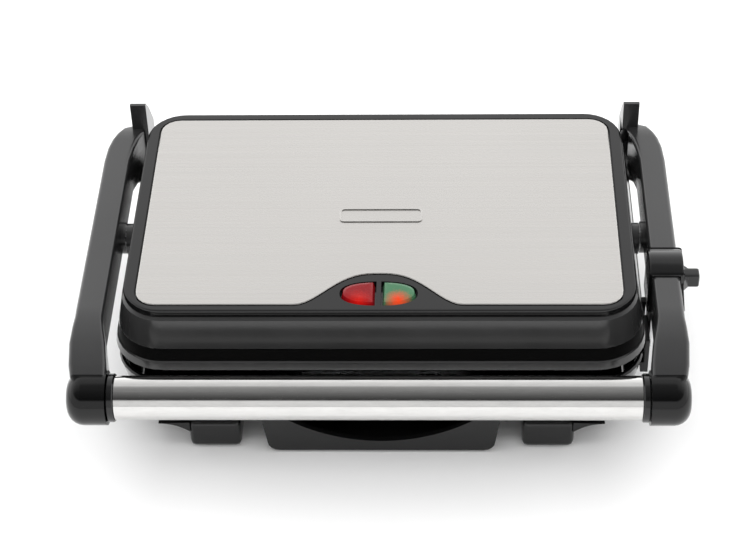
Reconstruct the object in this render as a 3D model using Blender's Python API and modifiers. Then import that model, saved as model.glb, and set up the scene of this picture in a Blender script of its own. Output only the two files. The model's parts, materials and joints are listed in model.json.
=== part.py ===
"""Contact grill (panini press) with a floating lid, a tubular handle, a lock slider and a drip tray.

Lengths are in metres. X runs across the press, Y from the handle towards the hinge and Z up.
Y is counted from the handle tube's axis and Z from the table; the root empty then centres the
whole press on the origin.
"""

import math

import bmesh
import bpy
from mathutils import Matrix, Vector

# Clearances
GAP = 0.0003
MOVING_GAP = 0.0007

# Base and lid
BODY_WIDTH = 0.2765
BODY_DEPTH = 0.175
BODY_FRONT = 0.0245
BODY_CORNER = 0.027
WALL = 0.0025
FOOT_HEIGHT = 0.019
BASE_HEIGHT = 0.0335
BASE_DRAFT = 0.006
BASE_FRONT_DRAFT = 0.0050
BASE_INSET = 0.0005
SEAM = 0.0081
LID_HEIGHT = 0.0344
LID_DRAFT = 0.00675
LID_FRONT_DRAFT = 0.0085
LID_BACK_DRAFT = 0.0035
CROWN_DROP = 0.0045
BAND_LOW = 0.0054
BAND_HIGH = 0.0123
BAND_DEPTH = 0.0012
NECK = 0.0028

# Bottom cover and feet
COVER_THICKNESS = 0.0020
TUNNEL_ROOM = 0.0048
TUNNEL_END = 0.006
FOOT_WIDTH = 0.0275
FOOT_DEPTH = 0.025
FOOT_OFFSET = 0.0115
FOOT_FRONT = 0.0035
FOOT_BACK = 0.0055
FOOT_CLEAR = 0.0005
PAD_MARGIN = 0.0050
PAD_THICKNESS = 0.0025

# Cooking plates and what lies behind them
PLATE_MARGIN = 0.0150
PLATE_CORNER = 0.012
PLATE_THICKNESS = 0.0050
PLATE_SEAM = 0.0030
PLATE_RIM = 0.0040
RIM_SLOPE = 0.0012
DRAIN_WIDTH = 0.0060
RIB_PITCH = 0.0130
RIB_HEIGHT = 0.0024
RIB_FOOT = 0.0036
RIB_TOP = 0.0022
ELEMENT_RADIUS = 0.0033
REFLECTOR_WALL = 0.0098
REFLECTOR_SHEET = 0.0010

# Top panel
FRONT_BORDER = 0.0040
SIDE_BORDER = 0.0065
BACK_BORDER = 0.0055
INLAY_CORNER = 0.011
INLAY_THICKNESS = 0.0015
INLAY_PROUD = 0.0003
BUMP_WIDTH = 0.086
BUMP_HEIGHT = 0.0235
PANEL_THICKNESS = 0.0036
LENS_WIDTH = 0.0394
LENS_DEPTH = 0.0177
LENS_SPLIT = 0.0030
LENS_SETBACK = 0.0090
EMBLEM_WIDTH = 0.044
EMBLEM_DEPTH = 0.011
EMBLEM_BAND = 0.0010
EMBLEM_SETBACK = 0.070

# Arms, handle and hinge
HANDLE_LIFT = 0.0054
TUBE_RADIUS = 0.0112
TUBE_WALL = 0.0012
ROD_RADIUS = 0.0040
ROD_SEAT = 0.0120
COLLAR_STEP = 0.0011
COLLAR_LENGTH = 0.0035
CAP_STEP = 0.0027
CAP_LENGTH = 0.0204
CAP_DOME = 0.0085
CAP_INSET = 0.00225
ARM_GAP = 0.0024
ARM_WIDTH = 0.0143
ARM_HEIGHT = 0.024
ARM_LIFT = 0.0294
ARM_CORNER = 0.0022
HINGE_LIFT = 0.0005
HINGE_SETBACK = 0.0035
HINGE_PIN_RADIUS = 0.0030
EYE_WALL = 0.0055
LUG_WALL = 0.0038
LUG_WIDTH = 0.0060
LUG_INSET = 0.01175
PIN_HEAD = 0.0018
TAB_WIDTH = 0.0088
TAB_DEPTH = 0.0020
TAB_SETBACK = 0.0100
FLOAT_Y = 0.115
FLOAT_LIFT = 0.0114
FLOAT_PIN_RADIUS = 0.0030
FLOAT_REACH = 0.0080
BOSS_RADIUS = 0.0085
PIVOT_PAD = 0.0052

# Leads
INLET_RADIUS = 0.0052
INLET_X = -0.062
INLET_LIFT = 0.015
LEAD_RADIUS = 0.0016
LEAD_DROP = 0.0085
CONDUIT_RADIUS = 0.0030
CONDUIT_DROP = 0.0100
CHANNEL_DEPTH = 0.0050
SLOT_DROP = 0.0180
SLOT_ROOF = 0.0015

# Lock
SLIDER_Y = 0.064
SLIDER_LENGTH = 0.022
SLIDER_WALL = 0.0021
SLIDER_INNER_WALL = 0.0012
NUB_REACH = 0.0090
NUB_SETBACK = 0.011
HOOK_THICKNESS = 0.0014
HOOK_DROP = 0.0085
HOOK_TOE = 0.0033
TOE_SETBACK = 0.006
TOE_LENGTH = 0.008
TOE_HEIGHT = 0.0030
LOCK_TRAVEL = 0.016
RACK_DROP = 0.0165
RACK_END = 0.005

# Drip tray
TRAY_WIDTH = 0.113
TRAY_BACK_ROOM = 0.035
TRAY_HEIGHT = 0.0195
TRAY_FLOOR = 0.0035
TRAY_WALL = 0.0018
TRAY_LIP = 0.0040
TRAY_FRONT_SIDE = 0.0065
TRAY_FRONT_BOTTOM = 0.0015
TRAY_FRONT_HEIGHT = 0.0245
TRAY_FRONT_THICKNESS = 0.0030
TRAY_FRONT_DRAFT = 0.0027
TRAY_FRONT_CORNER = 0.006
RECESS_MARGIN = 0.0120
RECESS_DEPTH = 0.0175

# Heights that follow
BASE_TOP = FOOT_HEIGHT + BASE_HEIGHT
LID_RIM = BASE_TOP + SEAM
LID_TOP = LID_RIM + LID_HEIGHT
MEETING = BASE_TOP + PLATE_SEAM
HANDLE_HEIGHT = LID_RIM + HANDLE_LIFT
ARM_TOP = LID_RIM + ARM_LIFT
ARM_UNDER = ARM_TOP - ARM_HEIGHT
HINGE_HEIGHT = BASE_TOP + HINGE_LIFT
FLOAT_HEIGHT = LID_RIM + FLOAT_LIFT
TAB_TOP = 2 * HINGE_HEIGHT
COVER_BOTTOM = FOOT_HEIGHT + GAP
COVER_TOP = COVER_BOTTOM + COVER_THICKNESS
TRAY_TOP = TRAY_FLOOR + TRAY_HEIGHT
TUNNEL_TOP = TRAY_TOP + TUNNEL_ROOM
PANEL_BOTTOM = LID_TOP - PANEL_THICKNESS
ROOF_TOP = PANEL_BOTTOM - GAP
CROWN = LID_TOP - CROWN_DROP
BAND_BOTTOM = LID_RIM + BAND_LOW
BAND_TOP = LID_RIM + BAND_HIGH
SLOT_BOTTOM = ARM_TOP - SLOT_DROP
SLOT_TOP = ARM_TOP - SLOT_ROOF
INLET_Z = FOOT_HEIGHT + INLET_LIFT
LEAD_Z = BASE_TOP - LEAD_DROP
HOOK_BOTTOM = BASE_TOP - HOOK_DROP
RACK_BOTTOM = BASE_TOP - RACK_DROP

# Places that follow
HALF_BODY = BODY_WIDTH / 2
BODY_BACK = BODY_FRONT + BODY_DEPTH
BODY_MIDDLE = (BODY_FRONT + BODY_BACK) / 2
BASE_BACK = BODY_BACK - BASE_INSET
ARM_INNER = HALF_BODY + ARM_GAP
ARM_OUTER = ARM_INNER + ARM_WIDTH
COLLAR_RADIUS = TUBE_RADIUS + COLLAR_STEP
CAP_RADIUS = TUBE_RADIUS + CAP_STEP
CAP_INNER = HALF_BODY - CAP_INSET
CAP_OUTER = CAP_INNER + CAP_LENGTH
HINGE_Y = BODY_BACK + HINGE_SETBACK
EYE_RADIUS = HINGE_PIN_RADIUS + EYE_WALL
HINGE_BACK = HINGE_Y + EYE_RADIUS
LUG_INNER = HALF_BODY - LUG_INSET
LUG_OUTER = LUG_INNER + LUG_WIDTH
TAB_INNER = LUG_OUTER + MOVING_GAP
TAB_OUTER = TAB_INNER + TAB_WIDTH
TAB_FRONT = BODY_BACK - TAB_SETBACK
PLATE_WIDTH = BODY_WIDTH - 2 * PLATE_MARGIN
PLATE_DEPTH = BODY_DEPTH - 2 * PLATE_MARGIN + 0.004
PANEL_FRONT = BODY_FRONT + LID_FRONT_DRAFT
INLAY_FRONT = PANEL_FRONT + FRONT_BORDER
INLAY_WIDTH = BODY_WIDTH - 2 * (LID_DRAFT + SIDE_BORDER)
INLAY_DEPTH = BODY_BACK - LID_BACK_DRAFT - BACK_BORDER - INLAY_FRONT
LENS_Y = INLAY_FRONT + LENS_SETBACK
LAMP_X = LENS_WIDTH / 4 + 0.0005
EMBLEM_Y = INLAY_FRONT + EMBLEM_SETBACK
TRAY_FRONT_Y = BODY_FRONT + GAP
TRAY_LENGTH = BODY_DEPTH - TRAY_BACK_ROOM
TRAY_FRONT_WIDTH = TRAY_WIDTH + 2 * TRAY_FRONT_SIDE
RECESS_WIDTH = TRAY_FRONT_WIDTH - 2 * RECESS_MARGIN
TUNNEL_BACK = TRAY_FRONT_Y + TRAY_LENGTH + TUNNEL_END
FOOT_INNER = TRAY_FRONT_WIDTH / 2 + FOOT_OFFSET
LEAD_X = LUG_INNER - 0.0100
ARM_LEAD_X = TAB_INNER + 0.0026
SLIDER_OUTER = ARM_OUTER + SLIDER_WALL + GAP
SLIDER_INNER = ARM_INNER - SLIDER_INNER_WALL - GAP
NUB_OUTER = SLIDER_OUTER + NUB_REACH
HOOK_INNER = ARM_INNER + 0.0005
RACK_OUTER = HOOK_INNER - MOVING_GAP
RACK_INNER = HALF_BODY - GAP
TOE_FRONT = SLIDER_Y + TOE_SETBACK

# The lid's lead, from the lid's rear corner into the arm
CONDUIT_ROUTE = (
    (HALF_BODY - 0.0165, BODY_BACK - 0.0205, ARM_TOP - CONDUIT_DROP),
    (HALF_BODY - 0.0065, BODY_BACK - 0.0125, ARM_TOP - CONDUIT_DROP + 0.0005),
    (TAB_INNER + 0.0032, BODY_BACK - 0.0020, ARM_TOP - CONDUIT_DROP - 0.0005),
)

FINISHES = {
    "gloss_black": ((0.018, 0.018, 0.019), 0.0, 0.18),
    "satin_black": ((0.025, 0.025, 0.026), 0.0, 0.45),
    "brushed": ((0.62, 0.61, 0.60), 1.0, 0.32),
    "cast": ((0.05, 0.05, 0.052), 0.0, 0.40),
    "zinc": ((0.55, 0.56, 0.58), 1.0, 0.38),
    "rubber": ((0.02, 0.02, 0.02), 0.0, 0.80),
    "red_lens": ((0.55, 0.02, 0.02), 0.0, 0.15),
    "green_lens": ((0.03, 0.22, 0.10), 0.0, 0.15),
    "lamp": ((0.85, 0.80, 0.72), 0.0, 0.20),
    "ceramic": ((0.80, 0.78, 0.72), 0.0, 0.55),
}

COLLECTIONS = {}
EMPTIES = {}


# Scene and objects

def start_scene():
    for item in list(bpy.data.objects):
        bpy.data.objects.remove(item, do_unlink=True)
    for name in ("panini_press", "cutters"):
        COLLECTIONS[name] = bpy.data.collections.new(name)
        bpy.context.scene.collection.children.link(COLLECTIONS[name])


def add_empty(name, location, parent=None):
    empty = bpy.data.objects.new(name, None)
    empty.empty_display_size = 0.02
    empty.location = location
    empty.parent = EMPTIES.get(parent)
    COLLECTIONS["panini_press"].objects.link(empty)
    EMPTIES[name] = empty
    return empty


def paint(item, finish):
    colour, metallic, roughness = FINISHES[finish]
    made = bpy.data.materials.new(item.name + "_" + finish)
    made.use_nodes = True
    shader = made.node_tree.nodes["Principled BSDF"]
    shader.inputs["Base Color"].default_value = (*colour, 1.0)
    shader.inputs["Metallic"].default_value = metallic
    shader.inputs["Roughness"].default_value = roughness
    item.data.materials.append(made)


def ride_on(item, empty_name):
    """Parent an item to an empty and leave the item where it is."""
    empty = EMPTIES[empty_name]
    item.parent = empty
    if empty_name != "press_root":
        item.matrix_parent_inverse = Matrix.Translation(-Vector(empty.location))


def add_item(name, data, finish, rides):
    item = bpy.data.objects.new(name, data)
    COLLECTIONS["panini_press"].objects.link(item)
    ride_on(item, rides)
    paint(item, finish)
    return item


def add_mesh(name, bm, finish, rides="press_root", bevel=0.0, segments=2):
    bmesh.ops.recalc_face_normals(bm, faces=bm.faces)
    mesh = bpy.data.meshes.new(name)
    bm.to_mesh(mesh)
    bm.free()
    item = add_item(name, mesh, finish, rides)
    if bevel:
        add_bevel(item, bevel, segments)
    return item


def add_bevel(item, width, segments=2):
    bevel = item.modifiers.new("edges", "BEVEL")
    bevel.width = width
    bevel.segments = segments
    bevel.limit_method = "ANGLE"
    bevel.angle_limit = math.radians(40)


def smooth(item, angle=35):
    item.data.shade_smooth()
    item.data.set_sharp_from_angle(angle=math.radians(angle))


def add_cutter(name, bm, rides="press_root"):
    """A helper solid: it shapes other pieces and isn't a piece itself."""
    bmesh.ops.recalc_face_normals(bm, faces=bm.faces)
    mesh = bpy.data.meshes.new(name)
    bm.to_mesh(mesh)
    bm.free()
    item = bpy.data.objects.new(name, mesh)
    COLLECTIONS["cutters"].objects.link(item)
    ride_on(item, rides)
    hide(item)
    return item


def hide(item):
    item.hide_render = True
    item.display_type = "WIRE"


def boolean(item, other, operation):
    step = item.modifiers.new(operation.lower() + "_" + other.name, "BOOLEAN")
    step.operation = operation
    step.object = other


# Shapes

def block(bm, low, high):
    size = [top - bottom for bottom, top in zip(low, high)]
    centre = [(top + bottom) / 2 for bottom, top in zip(low, high)]
    place = Matrix.Translation(centre) @ Matrix.Diagonal((*size, 1.0))
    bmesh.ops.create_cube(bm, size=1.0, matrix=place)


def box(low, high):
    bm = bmesh.new()
    block(bm, low, high)
    return bm


def side_box(side, inner, outer, front, back, bottom, top):
    """A box on the right (side 1) or the left (side -1), from inner to outer along X."""
    low_x, high_x = sorted((side * inner, side * outer))
    return box((low_x, front, bottom), (high_x, back, top))


def rod(radius, start, end, segments=24):
    """A round bar between two points."""
    start, end = Vector(start), Vector(end)
    along = end - start
    bm = bmesh.new()
    turn = Vector((0, 0, 1)).rotation_difference(along).to_matrix().to_4x4()
    bmesh.ops.create_cone(
        bm, cap_ends=True, segments=segments, radius1=radius, radius2=radius,
        depth=along.length, matrix=Matrix.Translation((start + end) / 2) @ turn)
    return bm


def arc(centre, radius, start, end, steps):
    """Points on an arc in a plane; the angles are in degrees."""
    points = []
    for step in range(steps + 1):
        angle = math.radians(start + (end - start) * step / steps)
        points.append((centre[0] + radius * math.cos(angle), centre[1] + radius * math.sin(angle)))
    return points


def rounded_rectangle(half, front, back, radius, steps=8):
    corners = (
        ((half - radius, front + radius), -90),
        ((half - radius, back - radius), 0),
        ((-half + radius, back - radius), 90),
        ((-half + radius, front + radius), 180),
    )
    points = []
    for centre, start in corners:
        points += arc(centre, radius, start, start + 90, steps)
    return points


def loft(bm, rings, closed=False):
    """Skin rings of equal length; open lofts get a flat cap at each end."""
    loops = [[bm.verts.new(point) for point in ring] for ring in rings]
    pairs = list(zip(loops, loops[1:]))
    if closed:
        pairs.append((loops[-1], loops[0]))
    for lower, upper in pairs:
        for index in range(len(lower)):
            bm.faces.new((lower[index - 1], lower[index], upper[index], upper[index - 1]))
    if not closed:
        bm.faces.new(loops[0])
        bm.faces.new(loops[-1])


def level(points, height):
    return [(x, y, height) for x, y in points]


def prism(points, bottom, top):
    bm = bmesh.new()
    loft(bm, [level(points, bottom), level(points, top)])
    return bm


def side_prism(points, side, inner, outer):
    """A flat outline in (y, z), given thickness along X on one side of the press."""
    bm = bmesh.new()
    loft(bm, [[(side * x, y, z) for y, z in points] for x in (inner, outer)])
    return bm


def turned(name, profile, finish, centre, along, rides, steps=32):
    """A profile of (radius, distance) points turned about an axis; it runs down its outer side."""
    mesh = bpy.data.meshes.new(name)
    bm = bmesh.new()
    chain = [bm.verts.new((radius, 0, distance)) for radius, distance in profile]
    for first, second in zip(chain, chain[1:]):
        bm.edges.new((first, second))
    if profile[0][0] > 0:
        bm.edges.new((chain[-1], chain[0]))
    bm.to_mesh(mesh)
    bm.free()
    item = add_item(name, mesh, finish, rides)
    item.rotation_mode = "QUATERNION"
    item.rotation_quaternion = Vector((0, 0, 1)).rotation_difference(Vector(along))
    item.location = centre
    screw = item.modifiers.new("turn", "SCREW")
    screw.steps = steps
    screw.render_steps = steps
    screw.use_merge_vertices = True
    screw.merge_threshold = 0.00001
    screw.use_smooth_shade = True
    return item


def make_helper(item):
    """Move a finished item to the cutters."""
    COLLECTIONS["panini_press"].objects.unlink(item)
    COLLECTIONS["cutters"].objects.link(item)
    hide(item)
    return item


def tube_along(name, points, radius, finish, rides, pinch=None):
    """A round wire along points; pinch gives each point's own share of the radius."""
    curve = bpy.data.curves.new(name, "CURVE")
    curve.dimensions = "3D"
    curve.bevel_depth = radius
    curve.bevel_resolution = 2
    curve.use_fill_caps = True
    spline = curve.splines.new("POLY")
    spline.points.add(len(points) - 1)
    for index, point in enumerate(points):
        spline.points[index].co = (*point, 1.0)
        spline.points[index].radius = pinch(index) if pinch else 1.0
    return add_item(name, curve, finish, rides)


def softened(corners, radius, steps=5):
    """A route whose inner corners are rounded off with arcs of one radius."""
    route = [Vector(corners[0])]
    for before, corner, after in zip(corners, corners[1:], corners[2:]):
        corner = Vector(corner)
        enter = (Vector(before) - corner).normalized()
        leave = (Vector(after) - corner).normalized()
        half = enter.angle(leave) / 2
        reach = radius / math.tan(half)
        centre = corner + (enter + leave).normalized() * (radius / math.sin(half))
        first = (corner + enter * reach - centre).normalized()
        last = (corner + leave * reach - centre).normalized()
        for step in range(steps + 1):
            route.append(centre + radius * first.slerp(last, step / steps))
    route.append(Vector(corners[-1]))
    return route


# Base

def base_outline(height, inset=0.0):
    """The base's plan at a height, drawn in by an inset."""
    share = (height - FOOT_HEIGHT) / BASE_HEIGHT
    half = HALF_BODY - BASE_INSET - BASE_DRAFT * (1 - share) - inset
    front = BODY_FRONT + BASE_INSET + BASE_FRONT_DRAFT * (1 - share) + inset
    return rounded_rectangle(half, front, BASE_BACK - inset, BODY_CORNER - inset)


def tray_slot(front, back, clearance):
    half = TRAY_WIDTH / 2 + TRAY_LIP + clearance
    return box((-half, front, FOOT_HEIGHT - 0.002), (half, back, TRAY_TOP + 0.004))


def make_base_housing():
    bm = bmesh.new()
    shoulder = BASE_TOP - 0.0012
    loft(bm, [
        level(base_outline(FOOT_HEIGHT + 0.001, 0.0010), FOOT_HEIGHT),
        level(base_outline(FOOT_HEIGHT + 0.001), FOOT_HEIGHT + 0.001),
        level(base_outline(shoulder), shoulder),
        level(base_outline(BASE_TOP, 0.0010), BASE_TOP),
        level(base_outline(BASE_TOP, WALL), BASE_TOP),
        level(base_outline(FOOT_HEIGHT + 0.001, WALL), FOOT_HEIGHT),
    ], closed=True)
    housing = add_mesh("base_housing", bm, "gloss_black")
    smooth(housing)
    slot = tray_slot(BODY_FRONT - 0.01, BODY_FRONT + 0.02, 2 * GAP)
    boolean(housing, add_cutter("tray_mouth", slot), "DIFFERENCE")
    near, far = BODY_BACK - 0.01, BODY_BACK + 0.01
    hole = rod(INLET_RADIUS + GAP, (INLET_X, near, INLET_Z), (INLET_X, far, INLET_Z))
    boolean(housing, add_cutter("inlet_hole", hole), "DIFFERENCE")
    lead_hole = rod(LEAD_RADIUS + 2 * GAP, (LEAD_X, near, LEAD_Z), (LEAD_X, far, LEAD_Z), 16)
    boolean(housing, add_cutter("lead_hole", lead_hole), "DIFFERENCE")


def make_bottom_cover():
    """The base's floor, raised into a tunnel whose two ledges carry the tray's lips."""
    inset = WALL + GAP
    cover = add_mesh("bottom_cover", prism(base_outline(COVER_BOTTOM, inset), COVER_BOTTOM, COVER_TOP),
                     "satin_black")
    room = TRAY_WIDTH / 2 + TRAY_LIP + GAP
    front = BODY_FRONT + BASE_FRONT_DRAFT + inset + 0.0015
    hat = box((-room - WALL, front, COVER_BOTTOM + 0.0005),
              (room + WALL, TUNNEL_BACK + WALL, TUNNEL_TOP + COVER_THICKNESS))
    boolean(cover, add_cutter("tunnel_outside", hat), "UNION")
    inside = box((-room, front - 0.02, COVER_TOP), (room, TUNNEL_BACK, TUNNEL_TOP))
    boolean(cover, add_cutter("tunnel_inside", inside), "DIFFERENCE")
    channel = TRAY_WIDTH / 2 + 2 * GAP
    below = box((-channel, front - 0.02, COVER_BOTTOM - 0.01), (channel, TUNNEL_BACK, COVER_TOP + 0.001))
    boolean(cover, add_cutter("tray_channel", below), "DIFFERENCE")


def make_feet():
    """Four blocks under the base; each has a rubber pad let into its underside."""
    rows = (("front", BODY_FRONT + FOOT_FRONT), ("rear", BODY_BACK - FOOT_BACK - FOOT_DEPTH))
    for row, front in rows:
        for side, name in ((-1, "left"), (1, "right")):
            foot = side_box(side, FOOT_INNER, FOOT_INNER + FOOT_WIDTH, front, front + FOOT_DEPTH,
                            FOOT_CLEAR, FOOT_HEIGHT - GAP)
            foot = add_mesh("foot_" + row + "_" + name, foot, "gloss_black", bevel=0.0030)
            pad_size = (FOOT_INNER + PAD_MARGIN, FOOT_INNER + FOOT_WIDTH - PAD_MARGIN,
                        front + PAD_MARGIN, front + FOOT_DEPTH - PAD_MARGIN)
            inner, outer, near, far = pad_size
            seat = side_box(side, inner - GAP, outer + GAP, near - GAP, far + GAP,
                            -0.001, PAD_THICKNESS + GAP)
            boolean(foot, add_cutter("pad_seat_" + row + "_" + name, seat), "DIFFERENCE")
            add_mesh("foot_pad_" + row + "_" + name, side_box(side, *pad_size, 0.0, PAD_THICKNESS), "rubber")


def make_drip_tray():
    half = TRAY_WIDTH / 2
    back = TRAY_FRONT_Y + TRAY_LENGTH
    lip_under = COVER_TOP + GAP
    tray = add_mesh("drip_tray", box((-half, TRAY_FRONT_Y + 0.001, TRAY_FLOOR), (half, back, TRAY_TOP)),
                    "gloss_black", "tray_slide")
    lips = box((-half - TRAY_LIP, BODY_FRONT + 0.012, lip_under),
               (half + TRAY_LIP, back - 0.001, TRAY_TOP - 0.0002))
    boolean(tray, add_cutter("tray_lips", lips, "tray_slide"), "UNION")
    top_half = TRAY_FRONT_WIDTH / 2
    bottom_half = top_half - TRAY_FRONT_DRAFT
    bottom = TRAY_FRONT_BOTTOM
    top = bottom + TRAY_FRONT_HEIGHT
    corner = TRAY_FRONT_CORNER
    outline = arc((bottom_half - corner, bottom + corner), corner, -90, 0, 4)
    outline += [(top_half, top), (-top_half, top)]
    outline += arc((-bottom_half + corner, bottom + corner), corner, 180, 270, 4)
    front = bmesh.new()
    loft(front, [[(x, y, z) for x, z in outline]
                 for y in (TRAY_FRONT_Y, TRAY_FRONT_Y + TRAY_FRONT_THICKNESS)])
    boolean(tray, add_cutter("tray_front", front, "tray_slide"), "UNION")
    hollow = box((-half + TRAY_WALL, TRAY_FRONT_Y + TRAY_FRONT_THICKNESS, TRAY_FLOOR + TRAY_WALL),
                 (half - TRAY_WALL, back - TRAY_WALL, TRAY_TOP + 0.01))
    boolean(tray, add_cutter("tray_hollow", hollow, "tray_slide"), "DIFFERENCE")
    radius = (RECESS_WIDTH ** 2 / 4 + RECESS_DEPTH ** 2) / (2 * RECESS_DEPTH)
    centre_z = top - RECESS_DEPTH + radius
    recess = rod(radius, (0, TRAY_FRONT_Y - 0.01, centre_z),
                 (0, TRAY_FRONT_Y + TRAY_FRONT_THICKNESS + 0.0005, centre_z), 96)
    boolean(tray, add_cutter("finger_recess", recess, "tray_slide"), "DIFFERENCE")


# Heating sets

def make_plate(name, tips, down, rides):
    """A cast cooking plate: rim, drain channel and ribs. Down is 1 where the back faces down."""
    half, depth = PLATE_WIDTH / 2, PLATE_DEPTH / 2
    rim, slope, channel = PLATE_RIM, RIM_SLOPE, DRAIN_WIDTH
    floor = -RIB_HEIGHT
    lines_x = [(-half, 0.0, 0.0), (-half + rim, 0.0, 0.0), (-half + rim + slope, floor, floor)]
    count = int((2 * (half - rim - slope - channel)) // RIB_PITCH)
    for index in range(count):
        middle = (index - (count - 1) / 2) * RIB_PITCH
        lines_x += [(middle - RIB_FOOT, floor, floor), (middle - RIB_TOP, 0.0, floor),
                    (middle + RIB_TOP, 0.0, floor), (middle + RIB_FOOT, floor, floor)]
    lines_x += [(half - rim - slope, floor, floor), (half - rim, 0.0, 0.0), (half, 0.0, 0.0)]
    ends = depth - rim - slope
    lines_y = [(-depth, 0.0), (-depth + rim, 0.0), (-ends, floor), (-ends + channel, floor),
               (-ends + channel + slope, None), (ends - channel - slope, None), (ends - channel, floor),
               (ends, floor), (depth - rim, 0.0), (depth, 0.0)]
    bm = bmesh.new()
    bmesh.ops.create_grid(bm, x_segments=len(lines_x) - 1, y_segments=len(lines_y) - 1, size=0.5)
    for vertex in bm.verts:
        column = round((vertex.co.x + 0.5) * (len(lines_x) - 1))
        row = round((vertex.co.y + 0.5) * (len(lines_y) - 1))
        x, rib, plain = lines_x[column]
        y, edge = lines_y[row]
        on_rim = edge == 0.0
        height = 0.0 if on_rim else (rib if edge is None else plain)
        vertex.co = (x, BODY_MIDDLE + y, height)
    skirt = bmesh.ops.extrude_face_region(bm, geom=bm.faces[:])["geom"]
    for vertex in [item for item in skirt if isinstance(item, bmesh.types.BMVert)]:
        vertex.co.z = -RIB_HEIGHT - PLATE_THICKNESS
    bottom = [item for item in skirt if isinstance(item, bmesh.types.BMFace)]
    bmesh.ops.dissolve_faces(bm, faces=bottom, use_verts=True)
    for vertex in bm.verts:
        vertex.co.z = tips + down * vertex.co.z
    plate = add_mesh(name, bm, "cast", rides)
    low, high = sorted((tips + down * 0.002, tips - down * 0.02))
    outline = rounded_rectangle(half - 0.0002, BODY_MIDDLE - depth + 0.0002, BODY_MIDDLE + depth - 0.0002,
                                PLATE_CORNER)
    boolean(plate, add_cutter(name + "_outline", prism(outline, low, high), rides), "INTERSECT")


def make_heating_set(name, tips, down, rides):
    """The plate with its element, thermostat and reflector behind it."""
    make_plate(name + "_plate", tips, down, rides)
    back = tips - down * (RIB_HEIGHT + PLATE_THICKNESS + GAP)
    half, depth = PLATE_WIDTH / 2, PLATE_DEPTH / 2
    middle = back - down * ELEMENT_RADIUS
    reach_x, reach_y = half - 0.028, depth - 0.026
    terminal = 0.030
    tail = BODY_MIDDLE + depth - 0.010
    corners = [(-terminal, tail), (-terminal, BODY_MIDDLE + reach_y), (-reach_x, BODY_MIDDLE + reach_y),
               (-reach_x, BODY_MIDDLE - reach_y), (reach_x, BODY_MIDDLE - reach_y),
               (reach_x, BODY_MIDDLE + reach_y), (terminal, BODY_MIDDLE + reach_y), (terminal, tail)]
    route = softened([(x, y, middle) for x, y in corners], 0.008)
    tube_along(name + "_element", route, ELEMENT_RADIUS, "zinc", rides)
    turned(name + "_thermostat", [(0, 0.0075), (0.007, 0.0075), (0.0085, 0.006), (0.0085, 0.0), (0, 0.0)],
           "ceramic", (0, BODY_MIDDLE, back - down * 0.0078), (0, 0, down), rides, 24)
    wall, sheet = REFLECTOR_WALL, REFLECTOR_SHEET
    near, far = BODY_MIDDLE - depth + 0.006, BODY_MIDDLE + depth - 0.006
    outer = rounded_rectangle(half - 0.006, near, far, 0.010, 4)
    inner = rounded_rectangle(half - 0.006 - sheet, near + sheet, far - sheet, 0.010 - sheet, 4)
    bm = bmesh.new()
    loft(bm, [level(inner, back - down * wall), level(inner, back), level(outer, back),
              level(outer, back - down * (wall + sheet))])
    add_mesh(name + "_reflector", bm, "zinc", rides)


def make_electrics():
    """The mains inlet's grommet in the rear wall, and the terminal block inside."""
    turned("cord_inlet", [
        (0.0030, 0.0040), (0.0064, 0.0040), (0.0072, 0.0028), (0.0072, GAP), (INLET_RADIUS, GAP),
        (INLET_RADIUS, -WALL - GAP), (0.0068, -WALL - GAP), (0.0068, -WALL - 0.0020),
        (0.0030, -WALL - 0.0020)],
        "rubber", (INLET_X, BASE_BACK, INLET_Z), (0, 1, 0), "press_root", 24)
    block_low = (-0.100, BODY_BACK - 0.050, COVER_TOP + GAP)
    block_high = (-0.076, BODY_BACK - 0.035, COVER_TOP + 0.0105)
    terminals = add_mesh("terminal_block", box(block_low, block_high), "ceramic", bevel=0.0008, segments=1)
    for step in range(2):
        x = -0.094 + 0.012 * step
        height = COVER_TOP + 0.0062
        hole = rod(0.0022, (x, block_low[1] - 0.01, height), (x, block_high[1] + 0.01, height), 12)
        boolean(terminals, add_cutter("terminal_hole_" + str(step), hole), "DIFFERENCE")


# Lid

def lid_outline(height, inset=0.0):
    """The lid's plan at a height, drawn in by an inset."""
    share = (height - LID_RIM) / LID_HEIGHT
    half = HALF_BODY - LID_DRAFT * share - inset
    front = BODY_FRONT + LID_FRONT_DRAFT * share + inset
    back = BODY_BACK - LID_BACK_DRAFT * share - inset
    return rounded_rectangle(half, front, back, BODY_CORNER - LID_DRAFT * share - inset)


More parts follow.
